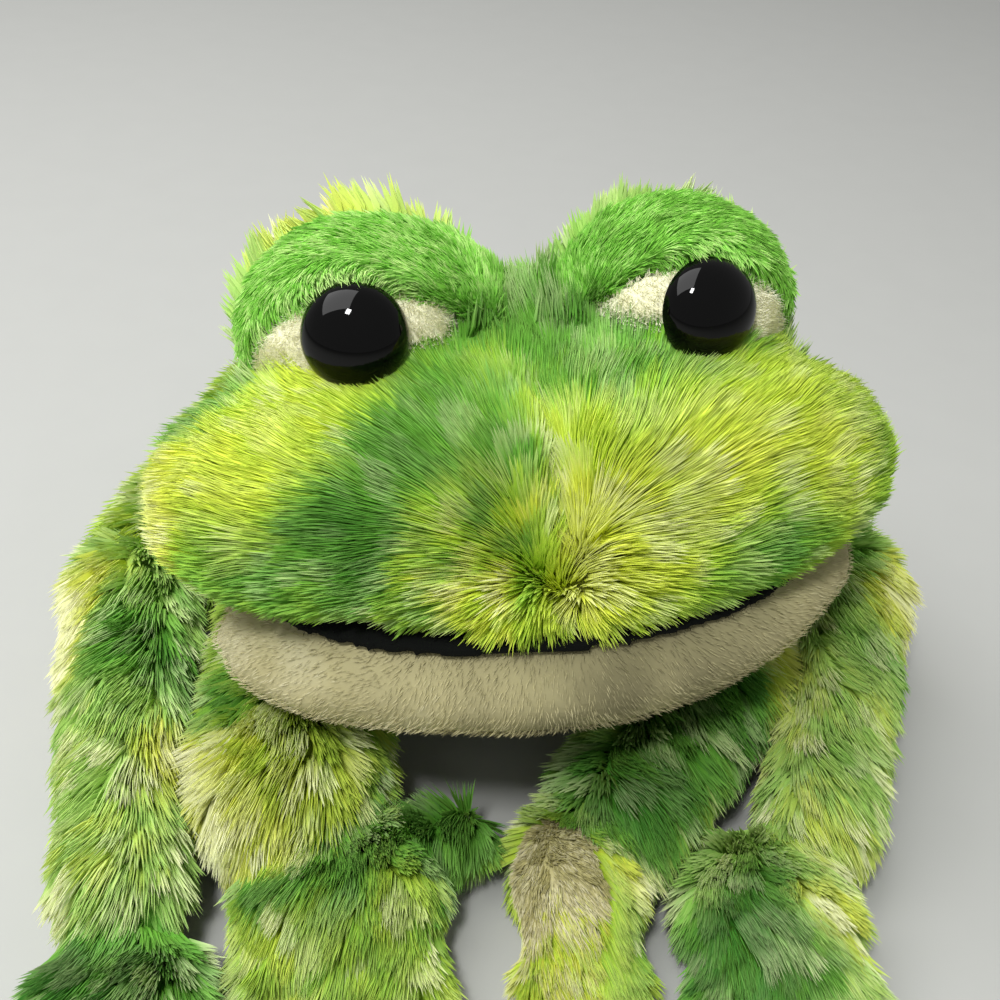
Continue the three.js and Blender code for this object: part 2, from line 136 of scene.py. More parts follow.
# Studio: name, place, aim, two sizes and power of each lamp
LAMPS = (
    ("key", (-0.42, 0.1, 0.9), (0, -0.02, 0.05), 0.9, 0.8, 9),
    ("window", (-0.17, -0.36, 0.74), (0, -0.03, 0.06), 0.09, 0.12, 3.2),
)
WORLD_LIGHT, WORLD_SEEN = 0.34, 0.58  # the world's strength as light, and how much more is seen of it
FLOOR_REACH = 3.0  # from the middle of the floor to its edges
CAMERA_AIM = (-3.4, -12.0, 74)  # in millimetres
CAMERA_TURN = (-6, 39, 4)  # azimuth, elevation and roll in degrees
CAMERA_AWAY = 0.232  # how far the camera stands from where it looks
CAMERA_ANGLE = 46  # across the picture, in degrees


def srgb(code):
    """The linear colour that a written one such as #9dbb3c stands for"""
    values = [int(code[i:i + 2], 16) / 255 for i in (1, 3, 5)]
    return [v / 12.92 if v <= 0.04045 else ((v + 0.055) / 1.055) ** 2.4 for v in values]


def colour(name, description, code):
    return bpy.props.FloatVectorProperty(
        name=name, description=description, default=srgb(code), subtype="COLOR", size=3, min=0, max=1)


def length(name, description, value):
    return bpy.props.FloatProperty(
        name=name, description=description, default=value, min=0, unit="LENGTH", precision=4)


class FrogSizes(bpy.types.PropertyGroup):
    """Sizes of the frog's cloth and pile"""
    long_pile: length("Long pile", "Length of the dyed pile's strands", 9.5 * MM)
    lid_pile: length("Lid pile", "Length of the brushed pile on the lids", 3.2 * MM)
    palm_pile: length("Palm pile", "Length of the cream pile on the palms", 3.4 * MM)
    shorn_pile: length("Shorn pile", "Length of the cream pile", 2.2 * MM)
    nap: length("Nap", "Length of the fine pile round the eyes", 1.4 * MM)
    felt_fuzz: length("Felt fuzz", "Length of the fibres that stand off the mouth's felt", 1.2 * MM)
    cloth: length("Cloth", "Thickness of the cloth under the pile", 1.2 * MM)
    sunk: length("Sunk", "How far the long pile's cloth lies inside the solid's skin", 1.6 * MM)
    lip: length("Lip", "How far the lower edge of the muzzle is filled out over the mouth", 7.8 * MM)
    crease: length("Crease", "Depth of the seam down the middle of the muzzle", 4.2 * MM)
    eye_radius: length("Eye radius", "Radius of a safety eye", 9.8 * MM)
    eye_dome: length("Eye dome", "Height of a safety eye over its seat", 7 * MM)


class FrogColours(bpy.types.PropertyGroup):
    """Colours of the frog's dyes and materials"""
    deep: colour("Deep green", "The darkest dye", "#357f22")
    green: colour("Green", "The mid green dye", "#6fb339")
    lime: colour("Lime", "The yellow-green dye", "#bfe03c")
    pale: colour("Pale green", "The faded green dye of the legs and the crown", "#a9cf66")
    yellow: colour("Yellow", "The yellow dye", "#e8f04a")
    straw: colour("Straw", "The palest dye", "#f9f8d2")
    tip: colour("Tips", "The worn tips of the long pile", "#f1f4c4")
    lid: colour("Lid", "The lids' green", "#8cd84c")
    lid_tip: colour("Lid tips", "The tips of the lids' pile", "#d6fb9a")
    cream: colour("Cream", "The shorn pile", "#c4bc8e")
    cream_tip: colour("Cream tips", "The tips of the shorn pile", "#ded8b4")
    palm: colour("Palm", "The cream pile on the palms", "#bdb67c")
    white: colour("Eye white", "The cloth round the eyes", "#fbf9da")
    white_tip: colour("Eye white tips", "The tips of the pile round the eyes", "#fffdea")
    felt: colour("Felt", "The mouth's felt", "#0d0f0d")
    eye: colour("Eye", "The safety eyes", "#060606")
    fibre: colour("Fibre", "The stuffing", "#eceae2")
    plastic: colour("Plastic", "The washers behind the eyes", "#e4e2da")
    beads: colour("Bead cloth", "The cloth of the bead bags", "#cbc4b2")
    floor: colour("Floor", "The studio floor", "#babbb7")


def sizes():
    return bpy.context.scene.frog_sizes


def colours():
    return bpy.context.scene.frog_colours


# Nodes

def socket(sockets, key):
    """A node's socket by its place, or the first in use by its name"""
    return sockets[key] if isinstance(key, int) else next(s for s in sockets if s.name == key and s.enabled)


def feed(tree, node, values):
    """Links or sets a node's inputs"""
    for key, value in values.items():
        if isinstance(value, bpy.types.NodeSocket):
            tree.links.new(value, socket(node.inputs, key))
        else:
            socket(node.inputs, key).default_value = value


def add(tree, kind, values=None, **settings):
    """A node with its settings, and with its inputs linked or set"""
    node = tree.nodes.new(kind)
    for key, value in settings.items():
        setattr(node, key, value)
    feed(tree, node, values or {})
    return node


def out(node, key=0):
    return socket(node.outputs, key)


def sums(tree, operation, *values):
    return out(add(tree, "ShaderNodeMath", dict(enumerate(values)), operation=operation))


def vectors(tree, operation, *values, scale=None):
    """A vector sum. The scale goes to the socket of that name."""
    inputs = dict(enumerate(values))
    if scale is not None:
        inputs["Scale"] = scale
    return out(add(tree, "ShaderNodeVectorMath", inputs, operation=operation))


def combined(tree, *parts):
    """A vector from its three parts"""
    return out(add(tree, "ShaderNodeCombineXYZ", dict(enumerate(parts))))


def mixed(tree, factor, a, b, kind="RGBA", **settings):
    """A mix of two colours or vectors"""
    return out(add(tree, "ShaderNodeMix", {"Factor": factor, "A": a, "B": b}, data_type=kind, **settings),
               "Result")


def grouped(name, kind, inputs, outputs):
    """A node group with its sockets, and its input and output nodes"""
    tree = bpy.data.node_groups.new(name, kind)
    for in_out, sockets in (("INPUT", inputs), ("OUTPUT", outputs)):
        for title, type_name in sockets:
            tree.interface.new_socket(title, in_out=in_out, socket_type="NodeSocket" + type_name)
    return tree, tree.nodes.new("NodeGroupInput"), tree.nodes.new("NodeGroupOutput")


# Skins: closed forms that the covers are cut from

def shown(name, mesh):
    obj = bpy.data.objects.new(name, mesh)
    bpy.context.scene.collection.objects.link(obj)
    return obj


def applied(obj):
    """Turns an object's modifiers into plain mesh"""
    graph = bpy.context.evaluated_depsgraph_get()
    mesh = bpy.data.meshes.new_from_object(obj.evaluated_get(graph))
    obj.modifiers.clear()
    obj.data = mesh
    return obj


def outermost(bm):
    """Leaves only the widest shell of a mesh"""
    left, shells = set(bm.verts), []
    while left:
        shell, stack = set(), [left.pop()]
        while stack:
            vert = stack.pop()
            shell.add(vert)
            near = {other for edge in vert.link_edges for other in edge.verts} & left
            left -= near
            stack.extend(near)
        shells.append(shell)
    widest = max(shells, key=len)
    bmesh.ops.delete(bm, geom=[v for v in bm.verts if v not in widest], context="VERTS")


def remeshed(obj, voxel):
    remesh = obj.modifiers.new("Remesh", "REMESH")
    remesh.mode = "VOXEL"
    remesh.voxel_size = voxel


def skin(name, nodes, voxel, relax=3):
    """A closed skin round merged copies of some nodes of the frame"""
    bm = bmesh.new()
    for node in nodes:
        bm.from_mesh(NODES[node].data)
    bmesh.ops.remove_doubles(bm, verts=bm.verts, dist=1e-6)
    mesh = bpy.data.meshes.new(name)
    bm.to_mesh(mesh)
    obj = shown(name, mesh)
    remeshed(obj, voxel)
    smooth = obj.modifiers.new("Relax", "SMOOTH")
    smooth.factor = 0.5
    smooth.iterations = relax
    applied(obj)
    bm.clear()
    bm.from_mesh(obj.data)
    outermost(bm)
    bm.to_mesh(obj.data)
    bm.free()
    return obj


def vectors_of(layer, key):
    values = np.empty(len(layer) * 3, np.float32)
    layer.foreach_get(key, values)
    return values.reshape(-1, 3)


def points_of(mesh):
    return vectors_of(mesh.vertices, "co")


def normals_of(mesh):
    return vectors_of(mesh.vertex_normals, "vector")


def move_points(mesh, points):
    mesh.vertices.foreach_set("co", np.ascontiguousarray(points, np.float32).ravel())
    mesh.update()


def stuffed(obj, cap=SWELL, sunk=None):
    """Sinks a skin, then swells it as its filling does, with pressure on its cloth, by at most the cap"""
    shrink = sizes().sunk if sunk is None else sunk
    start = points_of(obj.data) - normals_of(obj.data) * shrink
    move_points(obj.data, start)
    cloth = obj.modifiers.new("Filling", "CLOTH")
    cloth.settings.quality = 4
    cloth.settings.mass = 0.02
    cloth.settings.use_pressure = True
    cloth.settings.uniform_pressure_force = 4
    cloth.settings.effector_weights.gravity = 0
    cloth.point_cache.frame_start = 1
    cloth.point_cache.frame_end = CLOTH_FRAMES
    scene = bpy.context.scene
    for step in range(1, CLOTH_FRAMES + 1):
        scene.frame_set(step)
    graph = bpy.context.evaluated_depsgraph_get()
    swollen = points_of(obj.evaluated_get(graph).data)
    obj.modifiers.clear()
    scene.frame_set(1)
    moved = swollen - start
    far = np.maximum(np.linalg.norm(moved, axis=1, keepdims=True), 1e-9)
    move_points(obj.data, start + moved * np.minimum(1, cap / far))
    smoother = obj.modifiers.new("Smoother", "SUBSURF")
    smoother.levels = smoother.render_levels = 1
    return applied(obj)


def filled(obj, node):
    """Puts fibre inside a skin, in place of a node of stuffing"""
    fibre = shown(node + "_fibre", obj.data.copy())
    move_points(fibre.data, points_of(fibre.data) - normals_of(fibre.data) * FIBRE_DEPTH)
    remeshed(fibre, FIBRE_VOXEL)
    applied(fibre)
    fibre.data.shade_smooth()
    fibre.data.materials.clear()
    fibre.data.materials.append(bpy.data.materials["loose_fibre"])
    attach(fibre, BODY_OF[node])
    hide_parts(node)


def nearest_node(centres, nodes):
    """For each point, the place in the list of the node that is nearest to it"""
    trees = []
    for node in nodes:
        mesh = NODES[node].data
        trees.append(BVHTree.FromPolygons([v.co for v in mesh.vertices], [p.vertices for p in mesh.polygons]))
    return np.array([min(range(len(trees)), key=lambda i: trees[i].find_nearest(c)[3]) for c in centres])


# Fields over a skin: how it is dyed, combed and cut

def in_frame(points, matrix):
    """Points in millimetres of the frame that a matrix places"""
    back = np.array(matrix.inverted())
    return (points @ back[:3, :3].T + back[:3, 3]) / MM


def drift(points, pace, seed):
    """A random number from -1 to 1 at each point, which changes slowly over the pace"""
    shift = Vector((seed * 17.3, seed * 7.1, seed * 3.7))
    return np.array([noise.noise(Vector(p) / pace + shift) for p in points])


def drifts(points, pace, first):
    """Three slow random numbers at each point, from three seeds in a row"""
    return np.stack([drift(points, pace, seed) for seed in range(first, first + 3)], 1)


def hump(values, at, wide):
    """1 at one value, and less and less on both sides of it"""
    return np.exp(-((values - at) / wide) ** 2)


def dyed(points, patches):
    """How far from deep green to straw each point is dyed"""
    warped = points + DYE_WANDER * drifts(points, DYE_PACE, 1)
    total = np.full(len(points), PLAIN_WEIGHT)
    value = total * PLAIN_DYE
    for *at, wide, dye in patches:
        near = PATCH_WEIGHT * np.exp(-PATCH_FALL * (np.linalg.norm(warped - at, axis=1) / wide) ** 2)
        total = total + near
        value = value + near * dye
    return np.clip(value / total + DYE_MOTTLE * drift(points, 5, 4), *DYE_ENDS)


def units(ways):
    return ways / np.maximum(np.linalg.norm(ways, axis=1, keepdims=True), 1e-6)


def ramp(values, start, end):
    """0 before the start, 1 after the end, and a straight way between them"""
    return np.clip((values - start) / (end - start), 0, 1)


def along(normals, ways):
    """Directions laid into the surface, as units"""
    ways = np.broadcast_to(np.asarray(ways, float), normals.shape)
    flat = ways - normals * np.sum(ways * normals, 1, keepdims=True)
    return units(flat)


# Covers: the faces of a skin that belong to one piece, with their cloth's thickness

def cover(name, obj, wanted, fields):
    """A cut of a skin. Where the skin is cut, it gets an inner face and a rim."""
    mesh = obj.data
    faces = [tuple(p.vertices) for p, keep in zip(mesh.polygons, wanted) if keep]
    used = sorted({v for face in faces for v in face})
    place = {v: i for i, v in enumerate(used)}
    faces = [tuple(place[v] for v in face) for face in faces]
    points, normals = points_of(mesh)[used], normals_of(mesh)[used]
    sides = dict.fromkeys(side for face in faces for side in zip(face, face[1:] + face[:1]))
    rim = [(a, b) for a, b in sides if (b, a) not in sides]
    outer = len(faces)
    count = len(points)
    verts = points
    if rim:
        verts = np.concatenate([points, points - normals * sizes().cloth])
        faces += [tuple(v + count for v in reversed(face)) for face in faces]
        faces += [(b, a, a + count, b + count) for a, b in rim]
    made = bpy.data.meshes.new(name)
    made.from_pydata(verts.tolist(), [], faces)
    marks = made.attributes.new("outer", "BOOLEAN", "FACE")
    marks.data.foreach_set("value", [i < outer for i in range(len(faces))])
    copies = 2 if rim else 1
    for key, values in fields(points, normals).items():
        flat = values.ndim == 1
        values = np.tile(values, copies if flat else (copies, 1))
        attribute = made.attributes.new(key, "FLOAT" if flat else "FLOAT_VECTOR", "POINT")
        attribute.data.foreach_set("value" if flat else "vector", values.astype(np.float32).ravel())
    area = sum(p.area for p in made.polygons[:outer])
    return shown(name, made), area


# Pile

def strand():
    """One strand, a unit long and a unit wide, bowed away from the cloth at its waist"""
    mesh = bpy.data.meshes.new("strand")
    waist = STRAND_WAIST
    verts = [(0, 0, 0), (-STRAND_BEND, -0.5, waist), (-STRAND_BEND, 0.5, waist), (0, 0, 1)]
    mesh.from_pydata(verts, [], [(0, 1, 2), (3, 2, 1), (0, 3, 1), (0, 2, 3)])
    for key, values in (("tip", [0, waist, waist, 1]), ("side", [0, -1, 1, 0])):
        mesh.attributes.new(key, "FLOAT", "POINT").data.foreach_set("value", values)
    shown("strand", mesh)


def pile_tree():
    """Strands on the faces marked outer, which lean along the comb and gather into tufts"""
    floats = ("Strands per area", "Tufts per area", "Length", "Width") + PILE_SHARES
    inputs = [("Cloth", "Geometry"), ("Strand", "Object"), ("Seed", "Int"), ("Finish", "Material")]
    inputs += [(name, "Float") for name in floats]
    tree, given, made = grouped("Pile", "GeometryNodeTree", inputs, [("Pile", "Geometry")])

    def geo(kind, values=None, **settings):
        return add(tree, "GeometryNode" + kind, values, **settings)

    def field(name, kind="FLOAT"):
        return out(geo("InputNamedAttribute", {"Name": name}, data_type=kind), "Attribute")

    def plus(*values):
        return sums(tree, "ADD", *values)

    def times(*values):
        return sums(tree, "MULTIPLY", *values)

    def scaled(vector, by):
        return vectors(tree, "SCALE", vector, scale=by)

    def chance(low, high, shift, kind="FLOAT"):
        if kind == "FLOAT_VECTOR":
            low, high = (low,) * 3, (high,) * 3
        return out(add(tree, "FunctionNodeRandomValue", {
            "Min": low, "Max": high, "Seed": plus(out(given, "Seed"), shift)}, data_type=kind), "Value")

    def planted(density, shift):
        return geo("DistributePointsOnFaces", {
            "Mesh": out(given, "Cloth"), "Selection": field("outer", "BOOLEAN"), "Density": density,
            "Seed": plus(out(given, "Seed"), shift)})

    def stored(geometry, name, value, kind="FLOAT", domain="POINT"):
        return out(geo("StoreNamedAttribute", {
            "Geometry": geometry, "Name": name, "Value": value}, data_type=kind, domain=domain))

    lay, comb = field("lay"), field("comb", "FLOAT_VECTOR")
    position = out(geo("InputPosition"))
    tall = times(out(given, "Length"), field("long"))

    def leaning(normal, loose, shift):
        """A way between the normal and the comb, with some chance in it"""
        flat = scaled(comb, lay)
        upright = scaled(normal, sums(tree, "SUBTRACT", 1.0, lay))
        wild = scaled(chance(-1.0, 1.0, shift, "FLOAT_VECTOR"), loose)
        total = vectors(tree, "ADD", vectors(tree, "ADD", upright, flat), wild)
        return vectors(tree, "NORMALIZE", total)

    # Tufts and strands are planted apart, and each strand leans to the tip of the nearest tuft
    tufts = planted(out(given, "Tufts per area"), 1)
    way = leaning(out(tufts, "Normal"), out(given, "Scatter"), 3)
    tuft_tip = vectors(tree, "ADD", position, scaled(way, times(tall, chance(0.85, 1.2, 2))))
    roots = planted(out(given, "Strands per area"), 4)
    nearest = out(geo("SampleNearest", {"Geometry": out(tufts, "Points"), "Sample Position": position},
                      domain="POINT"))

    def of_tuft(value, kind="FLOAT"):
        """What the nearest tuft has for a value"""
        return out(geo("SampleIndex", {"Geometry": out(tufts, "Points"), "Value": value, "Index": nearest},
                       data_type=kind, domain="POINT"))

    own = leaning(out(roots, "Normal"), times(out(given, "Scatter"), 0.6), 5)
    inward = vectors(tree, "SUBTRACT", of_tuft(tuft_tip, "FLOAT_VECTOR"), position)
    inward = vectors(tree, "DIVIDE", inward, combined(tree, tall, tall, tall))
    pulled = mixed(tree, out(given, "Pull"), own, inward, "VECTOR")
    turn = add(tree, "FunctionNodeAxesToRotation", {"Primary Axis": pulled, "Secondary Axis": comb},
               primary_axis="Z", secondary_axis="X")
    tint = plus(field("dye"), times(chance(-1.0, 1.0, 6), out(given, "Dye spread")))
    tint = plus(tint, times(of_tuft(chance(-1.0, 1.0, 7)), out(given, "Tuft spread")))
    worn = sums(tree, "MULTIPLY_ADD", sums(tree, "POWER", of_tuft(chance(0.0, 1.0, 10)), 3.0), 2.4, 0.3)
    points = stored(out(roots, "Points"), "dye", tint)
    points = stored(points, "faces", out(roots, "Normal"), "FLOAT_VECTOR")
    points = stored(points, "worn", worn)
    size = times(tall, chance(0.7, 1.1, 8))
    slim = times(out(given, "Width"), chance(0.6, 1.3, 9))
    stood = geo("InstanceOnPoints", {
        "Points": points,
        "Instance": out(geo("ObjectInfo", {"Object": out(given, "Strand")}), "Geometry"),
        "Rotation": out(turn), "Scale": combined(tree, size, slim, size)})

    # Strands and cloth become one mesh above the floor, with a place on the palette for each
    normal = out(geo("InputNormal"))
    both = geo("JoinGeometry")
    for part in (out(stood), stored(out(given, "Cloth"), "faces", normal, "FLOAT_VECTOR")):
        tree.links.new(part, both.inputs[0])
    real = geo("RealizeInstances", {"Geometry": out(both)})
    parts = add(tree, "ShaderNodeSeparateXYZ", {0: position})
    high = sums(tree, "MAXIMUM", out(parts, 2), FLOOR_GAP)
    placed = geo("SetPosition", {
        "Geometry": out(real), "Position": combined(tree, out(parts, 0), out(parts, 1), high)})
    across = plus(field("dye"), times(field("side"), 0.02))
    across = out(add(tree, "ShaderNodeClamp", {"Value": across, "Min": DYE_ENDS[0], "Max": DYE_ENDS[1]}))
    up = plus(times(field("tip"), 0.9), 0.05)
    unwrapped = stored(out(placed), "OFBake", combined(tree, across, up, 0.0), "FLOAT2", "CORNER")
    blended = mixed(tree, out(given, "Softness"), normal, field("faces", "FLOAT_VECTOR"), "VECTOR")
    soft = geo("SetMeshNormal", {
        "Mesh": unwrapped, "Custom Normal": vectors(tree, "NORMALIZE", blended)}, mode="FREE", domain="POINT")
    finish = geo("SetMaterial", {"Geometry": out(soft), "Material": out(given, "Finish")})
    tree.links.new(out(finish), made.inputs[0])


def grown(obj, area, kind, count, seed, finish):
    """Gives a cover its pile, and turns the whole into plain mesh"""
    size, width, tuft, *shares = PILES[kind]
    fewer, broader = ((1, 1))
    settings = {
        "Strand": bpy.data.objects["strand"], "Strands per area": count * fewer / area,
        "Tufts per area": 1 / (tuft * MM) ** 2, "Length": getattr(sizes(), size),
        "Width": width * MM * broader, "Seed": seed, "Finish": finish,
        **dict(zip(PILE_SHARES, shares)),
    }
    pile = obj.modifiers.new("Pile", "NODES")
    pile.node_group = bpy.data.node_groups["Pile"]
    for item in pile.node_group.interface.items_tree:
        if item.item_type == "SOCKET" and item.in_out == "INPUT" and item.name in settings:
            pile[item.identifier] = settings[item.name]
    applied(obj)
    spares = obj.data.attributes
    for name in ("outer", "lay", "comb", "long", "side", "faces"):
        if name in spares:
            spares.remove(spares[name])


# How each kind of pile grows: the size that gives its length, the width of a strand and the distance
# between tufts in millimetres, then its scatter, pull to the tuft, softness, and spread of the dye
# between strands and between tufts
PILES = {
    "face": ("long_pile", 0.2, 3.4, 0.15, 0.22, 0.97, 0.03, 0.03),
    "shaggy": ("long_pile", 0.25, 3.4, 0.25, 0.36, 0.96, 0.05, 0.08),
    "lid": ("lid_pile", 0.16, 1.1, 0.35, 0.38, 0.8, 0.12, 0.22),
    "shorn": ("shorn_pile", 0.14, 1.8, 0.3, 0.25, 0.97, 0.12, 0.1),
    "palm": ("palm_pile", 0.2, 2.2, 0.35, 0.35, 0.85, 0.2, 0.15),
    "nap": ("nap", 0.14, 1.1, 0.6, 0.25, 0.8, 0.2, 0.1),
    "fuzz": ("felt_fuzz", 0.12, 1.5, 0.9, 0.1, 0.3, 0.2, 0.2),
}


# Materials

def dye_group():
    """The dye's colour from deep green to straw, paler towards the tips, and darker towards the roots as painted
    shade
    """
    stops = ("Deep", "Green", "Lime", "Yellow", "Straw")
    inputs = [(name, "Color") for name in stops + ("Tips",)]
    inputs += [(name, "Float") for name in ("Dye", "Tip", "Fade", "Root shade")]
    tree, given, made = grouped("Dye", "ShaderNodeTree", inputs, [("Color", "Color")])
    result = out(given, stops[0])
    for place, name in enumerate(stops[1:]):
        part = add(tree, "ShaderNodeMapRange", {
            "Value": out(given, "Dye"), "From Min": place / 4, "From Max": (place + 1) / 4})
        result = mixed(tree, out(part), result, out(given, name))
    worn = sums(tree, "MULTIPLY", sums(tree, "POWER", out(given, "Tip"), 1.6), out(given, "Fade"))
    worn = sums(tree, "MULTIPLY", worn, sums(tree, "ADD", out(given, "Dye"), 0.25))
    result = mixed(tree, worn, result, out(given, "Tips"))
    shade = add(tree, "ShaderNodeMapRange", {
        "Value": out(given, "Tip"), "From Max": 0.5, "To Min": out(given, "Root shade"), "To Max": 1.0})
    grey = out(add(tree, "ShaderNodeCombineColor", {i: out(shade) for i in range(3)}))
    tree.links.new(mixed(tree, 1.0, result, grey, blend_type="MULTIPLY"), made.inputs[0])


def material(name):
    made = bpy.data.materials.new(name)
    made.use_nodes = True
    tree = made.node_tree
    return made, tree, tree.nodes["Principled BSDF"]


def attribute(tree, name):
    return out(add(tree, "ShaderNodeAttribute", attribute_name=name), "Fac")


def pile_material(name, stops, tips, fade, root=0.75, sheen=0.06):
    """A pile whose colour comes from each strand's dye and from how near its tip is"""
    made, tree, shader = material(name)
    palette = [list(value) + [1] for value in (*stops, tips)]
    group = add(tree, "ShaderNodeGroup", {
        **dict(enumerate(palette)), "Dye": attribute(tree, "dye"), "Tip": attribute(tree, "tip"),
        "Fade": sums(tree, "MULTIPLY", attribute(tree, "worn"), fade), "Root shade": root},
        node_tree=bpy.data.node_groups["Dye"])
    feed(tree, shader, {
        "Base Color": out(group), "Roughness": 0.9, "Sheen Weight": sheen, "Sheen Roughness": 0.5,
        "Sheen Tint": palette[3], "Specular IOR Level": 0.12})


def speckled(name, base, dark, scale, depth, roughness):
    """A material whose colour and height are broken up by noise, for cloth, fibre and plastic.

    The dark specks are the base colour times a number.
    """
    made, tree, shader = material(name)
    where = out(add(tree, "ShaderNodeTexCoord"), "Object")
    grain = out(add(tree, "ShaderNodeTexNoise", {"Vector": where, "Scale": scale, "Detail": 4.0}))
    bump = add(tree, "ShaderNodeBump", {"Height": grain, "Strength": 0.6, "Distance": depth})
    feed(tree, shader, {
        "Base Color": mixed(tree, grain, darker(base, dark) + [1], list(base) + [1]),
        "Normal": out(bump), "Roughness": roughness})
    return made


def darker(value, by):
    return [v * by for v in value]


def shades(value, *factors):
    return [darker(value, by) for by in factors]


def make_materials():
    c = colours()
    dyes = (c.deep, c.green, c.lime, c.yellow, c.straw)
    pile_material("face_pile", dyes, c.tip, 0.36, root=0.94)
    faded = (c.deep, darker(c.green, 0.9), darker(c.lime, 0.8), darker(c.yellow, 0.84), c.straw)
    pile_material("limb_pile", faded, c.tip, 0.52, root=0.95)
    pale = (c.deep, darker(c.green, 0.95), c.pale, darker(c.yellow, 0.84), c.straw)
    pile_material("leg_pile", pale, c.tip, 0.6, root=0.96)
    lid = shades(c.lid, 0.45, 0.75, 1) + shades(c.lid_tip, 0.8, 1)
    pile_material("lid_pile", lid, c.lid_tip, 0.55, root=0.75)
    # The darkest cream stop carries the painted shade in the middle of the jaw
    cream = shades(c.cream, 0.46, 0.8, 1) + shades(c.cream_tip, 0.96, 1)
    pile_material("shorn_cream", cream, c.cream_tip, 0.3, root=0.85)
    palm = (darker(c.palm, 0.8), c.palm, darker(c.cream_tip, 0.98), darker(c.yellow, 0.7), darker(c.lime, 0.86))
    pile_material("palm_cream", palm, c.cream_tip, 0.3, root=0.9)
    white = shades(c.white, 0.94, 0.98, 1) + shades(c.white_tip, 0.99, 1)
    pile_material("eye_white", white, c.white_tip, 0.4, root=1.0)
    pile_material("fuzzy_felt", shades(c.felt, 0.6, 1, 1.5, 2, 3), darker(c.felt, 5), 0.3, sheen=0.1)
    speckled("loose_fibre", c.fibre, 0.8, 400, 0.4 * MM, 0.95)
    speckled("bead_cloth", c.beads, 0.8, 900, 0.2 * MM, 0.9)
    speckled("moulded_plastic", c.plastic, 0.95, 1500, 0.02 * MM, 0.4)
    gloss = speckled("polished_eye", c.eye, 0.7, 300, 0.001 * MM, 0.03)
    gloss.node_tree.nodes["Principled BSDF"].inputs["Specular IOR Level"].default_value = 0.22


# Pieces

def dress(node, obj, wanted, fields, pile, count, seed, finish, slot):
    """Cuts a cover from a skin, grows its pile, and puts it in the frame in its node's place"""
    piece, area = cover(node + "_pile", obj, wanted, fields)
    grown(piece, area, pile, count, seed, bpy.data.materials[finish])
    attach(piece, BODY_OF[node])
    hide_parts(node)


def dress_all(obj, plan, matrix=Matrix.Identity(4), bare=()):
    """Cuts a skin into covers. Each row of the plan: node, pile, strands, finish, slot, fields. The slot is not
    used.

    Where a bare node is nearest, the skin is left out.
    """
    centres = [p.center for p in obj.data.polygons]
    nearest = nearest_node(centres, [row[0] for row in plan] + list(bare))
    for place, (node, pile, count, finish, slot, fields) in enumerate(plan):
        def prepared(points, normals, fields=fields):
            """The fields of a cover, with the comb laid into the surface and swirled a little"""
            local, turn = in_frame(points, matrix), np.array(matrix.to_3x3())
            turned = normals @ turn
            values = fields(local)
            swirled = along(turned, values["comb"]) + 0.6 * drifts(local, 9, 11)
            values["comb"] = along(turned, swirled) @ turn.T
            return {key: np.asarray(value) * np.ones((len(points), 3) if key == "comb" else len(points))
                    for key, value in values.items()}

        dress(node, obj, nearest == place, prepared, pile, count, 10 * place + 3, finish, slot)
    bpy.data.objects.remove(obj)


def mound(side):
    """The middle of an eye's mound, in millimetres of the head's frame"""
    return np.array((MOUND[0] * side, MOUND[1], MOUND[2]))


def parting(points):
    """Where the pile of the face is combed from: an uneven line up the seam from the lip"""
    return np.stack([3 * drift(points, 5, 41), np.full(len(points), MUZZLE_ROOT[1]),
                     np.clip(points[:, 2] * 0.85, MUZZLE_ROOT[2], 22)], 1)


def by_eye(points):
    """1 right beside an eye's mound, and 0 well away from it"""
    away = np.min([np.linalg.norm(points - mound(side), axis=1) for side in SIDES.values()], axis=0)
    return ramp(away, 34, 24)


def face_pile(points):
    """Pile combed away from the seam, which stands out over the mouth along the lip and is ruffled there"""
    low = ramp(points[:, 2], 15, 9) * ramp(points[:, 1], -20, -40)
    outward = np.stack([points[:, 0] / 26, np.full(len(points), -0.6), np.full(len(points), -0.35)], 1)
    comb = units(points - parting(points)) * (1 - low[:, None]) + low[:, None] * units(outward)
    ruffled = np.exp(-((points[:, 2] - 12) / 7) ** 2 - (points[:, 0] / 20) ** 2)
    comb = comb + 1.1 * ruffled[:, None] * drifts(points, 3, 31)
    tufted = np.exp(-((points[:, 0] + 12) / 11) ** 2 - ((points[:, 2] - 18) / 10) ** 2)
    dye = dyed(points, HEAD_DYE) + 0.75 * tufted * drift(points, 2.6, 9)
    return {"dye": np.clip(dye, *DYE_ENDS), "comb": comb,
            "lay": 0.7 - 0.14 * low - 0.26 * ruffled + 0.06 * by_eye(points),
            "long": (0.98 - low * (0.36 - 0.2 * ruffled) + 0.16 * ramp(np.abs(points[:, 0]), 48, 64)
                     + 0.12 * drift(points, 9, 6)) * (1 - 0.1 * by_eye(points))}


def crown_pile(points):
    """Pile combed away from the face, which stands up in a few tufts behind the lids"""
    behind = ramp(points[:, 2], 40, 50)
    tufts = sum(hump(points[:, 0], at, wide) for at, wide in ((-46, 9), (-29, 9), (-14, 7), (12, 7)))
    return {"dye": dyed(points, HEAD_DYE), "comb": units(points - MUZZLE_ROOT),
            "lay": 0.5 - 0.12 * behind,
            "long": 1.0 + 0.2 * drift(points, 9, 6) + behind * (0.34 * tufts - 0.2 + 0.3 * drift(points, 4, 9))}


def combed(way, lay, long=1.0):
    """A field maker for dyed pile that is combed one way"""
    def fields(points):
        return {"dye": dyed(points, BODY_DYE), "comb": way, "lay": lay,
                "long": long + 0.15 * drift(points, 9, 6)}
    return fields


def shorn(way, lay=0.55, long=1.0):
    """A field maker for cream pile"""
    def fields(points):
        return {"dye": 0.5 + 0.25 * drift(points, 7, 5), "comb": way, "lay": lay, "long": long}
    return fields


